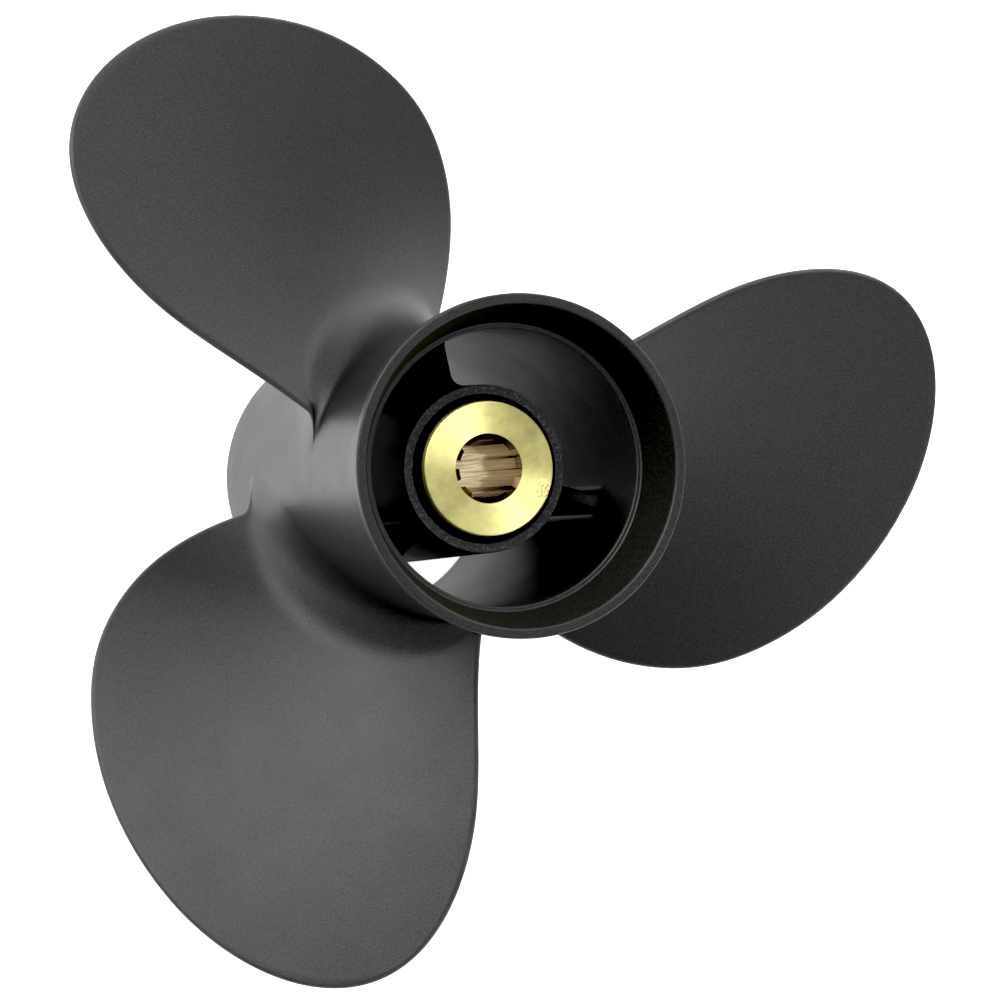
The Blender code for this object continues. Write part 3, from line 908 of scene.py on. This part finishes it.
def turnRows(bm, profile, start, steps):
    # a profile of (radius, z) turned round the shaft
    angles = [start + 2.0 * math.pi * i / steps for i in range(steps)]
    joinRows(bm, [
        [bm.verts.new(roundShaft(radius, angle, z)) for angle in angles] for radius, z in profile],
        closed=True)


flatBeside = 1.25  # a round and the flat beside it, as a multiple of the round's size


def softProfile(corners, size, steps=4):
    # a profile whose inner corners are rounded, with a short flat kept beside each round
    points = [corners[0]]
    for before, corner, after in zip(corners, corners[1:], corners[2:]):
        corner = Vector(corner)
        toBack, toFront = Vector(before) - corner, Vector(after) - corner
        cut = min(size, toBack.length * 0.4, toFront.length * 0.4)
        one, two = corner + toBack.normalized() * cut, corner + toFront.normalized() * cut
        points.append(tuple(corner + toBack.normalized() * cut * flatBeside))
        for i in range(steps + 1):
            share = i / steps
            points.append(tuple(one.lerp(corner, share).lerp(corner.lerp(two, share), share)))
        points.append(tuple(corner + toFront.normalized() * cut * flatBeside))
    points.append(corners[-1])
    return points


def mouthProfile():
    # the flare with its flat lip, the cone inside it and the ledge at the foot of the cone
    lipStart = hub["length"] - hub["lipWidth"]
    flare = []
    for i in range(hub["flareSteps"] + 1):
        share = i / hub["flareSteps"]
        flare.append((
            mixed(hub["rearRadius"], hub["lipRadius"], share ** hub["flareBend"]),
            mixed(hub["flareStart"], lipStart, share)))
    return flare[:-1] + softProfile([
        flare[-1], (hub["lipRadius"], hub["length"]), (hub["mouthRadius"], hub["length"]),
        (hub["ledgeRadius"], hub["ledge"]), (hub["rearBore"] + hub["ledgeChamfer"], hub["ledge"]),
        (hub["rearBore"], hub["ledge"] - hub["ledgeChamfer"]), (hub["rearBore"], hub["flareStart"])],
        hub["edgeRound"])


def noseProfile():
    # the front rim, with a shallow recess inside it
    return softProfile([
        (boreRadius(hub["recessDepth"]), hub["recessDepth"]), (hub["recessRadius"], 0.0),
        (hub["frontRadius"] - hub["noseDrop"], 0.0),
        (barrelRadius(hub["noseLength"]), hub["noseLength"])], hub["frontRound"])


def tubeProfile(low, high):
    # the bush housing's rear end, its bore and its front end
    rows = housing["boreRows"]
    tube = softProfile([
        (housingRadius(high), high), (housing["rearRadius"], housing["rear"]),
        (housing["bore"], housing["rear"]), (housing["bore"], rows[0])], housing["edgeRound"])
    tube += [(housing["bore"], z) for z in rows[1:-1]]
    return tube + softProfile([
        (housing["bore"], rows[-1]), (housing["bore"], housing["front"]),
        (housing["frontRadius"], housing["front"]), (housingRadius(low), low)], housing["edgeRound"])


def makeCasting():
    bm = bmesh.new()
    bm.from_mesh(bladesMesh)
    bladeFeet = openLoops(bm)
    bm.from_mesh(ribsMesh)
    taken = {vert for loop in bladeFeet for vert in loop}
    ribFeet = [loop for loop in openLoops(bm) if loop[0] not in taken]
    middle = (housing["frontRadius"] + hub["frontBore"]) * 0.5 * mm
    inFeet = [loop for loop in ribFeet if loop[0].co.xy.length < middle]
    outFeet = [loop for loop in ribFeet if loop[0].co.xy.length > middle]
    print("feet found:", len(bladeFeet), "blade,", len(inFeet), "inner and", len(outFeet), "outer rib")

    steps, spacing = hub["steps"], hub["rowSpacing"]
    inside = spacing * hub["insideCoarser"]
    helix = 1.0 / advanceAt(barrelRadius(hub["helixStation"]))
    roundEnd = housing["edgeRound"] * flatBeside
    tubeLow, tubeHigh = housing["front"] + roundEnd, housing["rear"] - roundEnd
    noseStart, mouthStart = stitchSkin(
        bm, bladeFeet, barrelRadius, hub["noseLength"], hub["flareStart"], helix, steps, spacing)
    stitchSkin(bm, outFeet, boreRadius, hub["recessDepth"], hub["flareStart"], 0.0, steps, inside)
    tubeStart, _ = stitchSkin(
        bm, inFeet, housingRadius, tubeLow, tubeHigh, 0.0, housing["steps"], inside)
    turnRows(bm, mouthProfile(), mouthStart, steps)
    turnRows(bm, noseProfile(), noseStart, steps)
    turnRows(bm, tubeProfile(tubeLow, tubeHigh), tubeStart, housing["steps"])

    bmesh.ops.remove_doubles(bm, verts=bm.verts, dist=hub["joinDistance"] * mm)
    bmesh.ops.recalc_face_normals(bm, faces=bm.faces)
    print("casting edges without two faces:", sum(len(e.link_faces) != 2 for e in bm.edges))
    mesh = meshFrom(bm, "casting")
    mesh.shade_smooth()
    return putInScene("casting", mesh)


def coatCasting():
    # enamel all over, a thin coat on the sawn end of the housing, and on the ribs and in the cone
    # of the mouth a rougher enamel that is darkened as painted shade
    casting.data.materials.clear()
    for coat in (paint, castEnd, shadedRecessPaint):
        casting.data.materials.append(coat)
    margin, wall = hub["coatMargin"], hub["wallMargin"]
    for face in casting.data.polygons:
        out, high = face.center.xy.length / mm, face.center.z / mm
        if out < housing["rearRadius"] and high > housing["rear"] - margin and face.normal.z > 0.7:
            face.material_index = 1
        # the cone of the mouth and the ribs take the rougher enamel, darkened as painted shade
        elif high > hub["ledge"] + margin and out > hub["ledgeRadius"] + margin:
            if out < hub["mouthRadius"] - margin and face.normal.xy.dot(face.center.xy) < 0.0:
                face.material_index = 2
        elif housingRadius(high) + wall < out < boreRadius(high) - wall:
            face.material_index = 2


casting = makeCasting()
coatCasting()
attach(casting, "root")
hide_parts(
    "barrel", "diffuser_ring", "bush_housing", "blade_1", "blade_2", "blade_3",
    "rib_1", "rib_2", "rib_3")
print("casting made,", len(casting.data.polygons), "faces")


sleeve = {
    "radius": 12.5,
    "front": 10.0,
    "collarRadius": 15.8,
    "collarFront": 104.6,
    "rear": 106.8,
    "edgeRound": 0.35,
    "grooveRadius": 8.2,
    "toothRadius": 6.9,
    "teeth": 10,
    "firstTooth": 11.5,
    "toothHalf": 10.0,
    "footHalf": 11.5,
    "toothLead": 1.0,        # length of the slope at each end of a tooth
    "columns": (4, 2, 10),   # in half a groove, on a flank and over a tooth
    "boreRows": 8,
    "sharpness": 35.0,       # edges that turn by more stay crisp; also used for the bush
}


def sleeveSector():
    # one tooth with half a groove on each side; its ends are cut back like a countersink
    half, foot, tip = 180.0 / sleeve["teeth"], sleeve["footHalf"], sleeve["toothHalf"]
    inGroove, onFlank, onTooth = sleeve["columns"]
    rising = [mixed(-half, -foot, i / inGroove) for i in range(inGroove)]
    rising += [mixed(-foot, -tip, i / onFlank) for i in range(onFlank)]
    angles = rising + [mixed(-tip, tip, i / onTooth) for i in range(onTooth + 1)]
    angles += [-angle for angle in reversed(rising)]
    edge = sleeve["grooveRadius"]
    skin = softProfile([
        (edge, sleeve["front"]), (sleeve["radius"], sleeve["front"]),
        (sleeve["radius"], sleeve["collarFront"]), (sleeve["collarRadius"], sleeve["collarFront"]),
        (sleeve["collarRadius"], sleeve["rear"]), (edge, sleeve["rear"])], sleeve["edgeRound"])
    high, low = sleeve["rear"] - sleeve["toothLead"], sleeve["front"] + sleeve["toothLead"]
    bore = [mixed(high, low, i / sleeve["boreRows"]) for i in range(sleeve["boreRows"] + 1)]
    bm = bmesh.new()
    columns = []
    for angle in angles:
        flank = min(max((foot - abs(angle)) / (foot - tip), 0.0), 1.0)
        tooth = mixed(edge, sleeve["toothRadius"], flank)
        points = skin + [(tooth, z) for z in bore]
        columns.append([bm.verts.new(roundShaft(radius, math.radians(angle), z)) for radius, z in points])
    joinRows(bm, columns, closed=True)
    bmesh.ops.recalc_face_normals(bm, faces=bm.faces)
    return meshFrom(bm, "sleeveSector")


def finishedPiece(name, mesh):
    # a closed piece at the origin, with its doubles merged and its faces outward
    bm = bmesh.new()
    bm.from_mesh(mesh)
    bmesh.ops.remove_doubles(bm, verts=bm.verts, dist=hub["joinDistance"] * mm)
    bmesh.ops.recalc_face_normals(bm, faces=bm.faces)
    print(name, "edges without two faces:", sum(len(e.link_faces) != 2 for e in bm.edges))
    bm.to_mesh(mesh)
    bm.free()
    mesh.shade_smooth()
    mesh.set_sharp_from_angle(angle=math.radians(sleeve["sharpness"]))
    piece = putInScene(name, mesh)
    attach(piece, "root")
    return piece


splinedSleeve = finishedPiece("splinedSleeve", runTrees(sleeveSector(), [(repeatRound, {
    "Count": sleeve["teeth"], "First Angle": math.radians(sleeve["firstTooth"]),
    "Join Distance": hub["joinDistance"] * mm, "Material": turnedBrass})]))
splinedSleeve.data.materials.clear()
splinedSleeve.data.materials.append(turnedBrass)
splinedSleeve.data.materials.append(broachedBrass)
for face in splinedSleeve.data.polygons:
    inBore = face.center.xy.length < sleeve["grooveRadius"] * mm and abs(face.normal.z) < 0.9
    face.material_index = int(inBore)
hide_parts("splined_sleeve")
print("sleeve made,", len(splinedSleeve.data.polygons), "faces")


bush = {
    "front": 14.0,
    "rear": 102.5,
    "clearance": 0.3,
    "endHollow": 0.9,
    "endSteps": 8,
    "steps": 120,
}


def makeBush():
    # rubber bonded between the sleeve and the housing, a little hollow at both ends
    inner = sleeve["radius"] + bush["clearance"]
    outer = housing["bore"] - bush["clearance"]
    profile = []
    for end, inwards in ((bush["rear"], -1.0), (bush["front"], 1.0)):
        across = []
        for i in range(bush["endSteps"] + 1):
            share = i / bush["endSteps"]
            hollow = bush["endHollow"] * math.sqrt(max(1.0 - (2.0 * share - 1.0) ** 2, 0.0))
            across.append((mixed(inner, outer, share), end + inwards * hollow))
        profile += across if inwards < 0.0 else across[::-1]
    bm = bmesh.new()
    turnRows(bm, profile + profile[:1], 0.0, bush["steps"])
    mesh = meshFrom(bm, "rubberBush")
    mesh.materials.append(rubber)
    return finishedPiece("rubberBush", mesh)


rubberBush = makeBush()
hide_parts("rubber_bush")
print("rubber bush made,", len(rubberBush.data.polygons), "faces")


view = {
    "photoSize": 1000.0,
    "focalLength": 5892.57,  # in pixels of the photograph
    "sensor": 36.0,
    "yaw": 17.966,
    "pitch": -1.162,
    "place": (35.513, -5.304, 1477.064),
}

viewTurn = Matrix.Rotation(math.radians(view["pitch"]), 3, "X")
viewTurn = viewTurn @ Matrix.Rotation(math.radians(view["yaw"]), 3, "Y")


def makeCamera():
    data = bpy.data.cameras.new("camera")
    data.sensor_width = view["sensor"]
    data.lens = view["sensor"] * view["focalLength"] / view["photoSize"]
    data.clip_start, data.clip_end = 0.05, 20.0
    camera = putInScene("camera", data)
    place = viewTurn.transposed() @ (Vector(view["place"]) * mm)
    camera.matrix_world = Matrix.Translation(place) @ viewTurn.transposed().to_4x4()
    bpy.context.scene.camera = camera


# sizes of the floor and the lights are metres

studio = {
    "floorColour": "#F4F4F2",
    "floorGlow": 1.0,
    "floorReach": 3.0,
    "roomStrength": 0.5,
    "boxDistance": 1.8,
    "boxWidth": 0.9,
    "lowest": 0.1,           # no light hangs nearer to the floor
    "blackLevel": 0.012,     # the camera's darkest tone, so that the hollows of the hub go black
    # softboxes round the line of sight: degrees away from it, degrees anti-clockwise from the
    # right of the picture, watts
    "boxes": {
        "keyTop": (25.0, 90.0, 9.5),
        "keyLeft": (25.0, 135.0, 10.8),
        "fillTop": (45.0, 90.0, 3.0),
        "fillLeft": (45.0, 135.0, 4.0),
        "highLeft": (60.0, 135.0, 7.7),
        "highRight": (60.0, 45.0, 6.1),
        "overhead": (60.0, 90.0, 1.9),
        "right": (60.0, 0.0, 2.9),
        "lowRight": (60.0, 315.0, 2.2),
        "rimTop": (82.0, 45.0, 6.8),
        "rimLow": (82.0, 315.0, 5.3),
    },
    # small reflectors that only the brass is lit by
    "brassWidth": 0.5,
    "brassBoxes": {
        "brassHigh": (34.0, 42.0, 3.6),
        "brassLow": (52.0, 334.0, 3.2),
    },
}


def makeFloor():
    material, tree, _ = newMaterial("paleFloor")
    shader = addNode(tree, "ShaderNodeBsdfPrincipled", {
        "Base Color": linearColour(studio["floorColour"]), "Roughness": 0.9,
        "Emission Color": linearColour("#FFFFFF"), "Emission Strength": studio["floorGlow"]})
    addNode(tree, "ShaderNodeOutputMaterial", {"Surface": shader.outputs[0]})
    bm = bmesh.new()
    bmesh.ops.create_grid(bm, x_segments=2, y_segments=2, size=studio["floorReach"])
    mesh = meshFrom(bm, "floor")
    mesh.materials.append(material)
    floor = putInScene("floor", mesh)


def lightRoom():
    world = bpy.data.worlds.new("softRoom")
    world.use_nodes = True
    background = world.node_tree.nodes["Background"].inputs
    background["Color"].default_value = linearColour("#FFFFFF")
    background["Strength"].default_value = studio["roomStrength"]
    bpy.context.scene.world = world

    aim = Vector((0.0, 0.0, hub["length"] * 0.5 * mm))
    onlyBrass = bpy.data.collections.new("onlyBrass")
    onlyBrass.objects.link(splinedSleeve)
    for name, (away, bearing, watts) in {**studio["boxes"], **studio["brassBoxes"]}.items():
        away, bearing = math.radians(away), math.radians(bearing)
        towards = Vector((
            math.sin(away) * math.cos(bearing), math.sin(away) * math.sin(bearing), math.cos(away)))
        light = bpy.data.lights.new(name, "AREA")
        light.energy = watts
        light.size = studio["boxWidth"]
        softbox = putInScene(name, light)
        if name in studio["brassBoxes"]:
            light.size = studio["brassWidth"]
            softbox.light_linking.receiver_collection = onlyBrass
        softbox.location = aim + viewTurn.transposed() @ towards * studio["boxDistance"]
        softbox.location.z = max(softbox.location.z, studio["lowest"])
        softbox.rotation_mode = "QUATERNION"
        softbox.rotation_quaternion = (aim - softbox.location).to_track_quat("-Z", "Y")


def setTone():
    tone = bpy.context.scene.view_settings
    tone.view_transform = "Standard"
    tone.use_curve_mapping = True
    tone.curve_mapping.black_level = [studio["blackLevel"]] * 3


makeCamera()
makeFloor()
lightRoom()
setTone()
print("floor, light and camera placed")
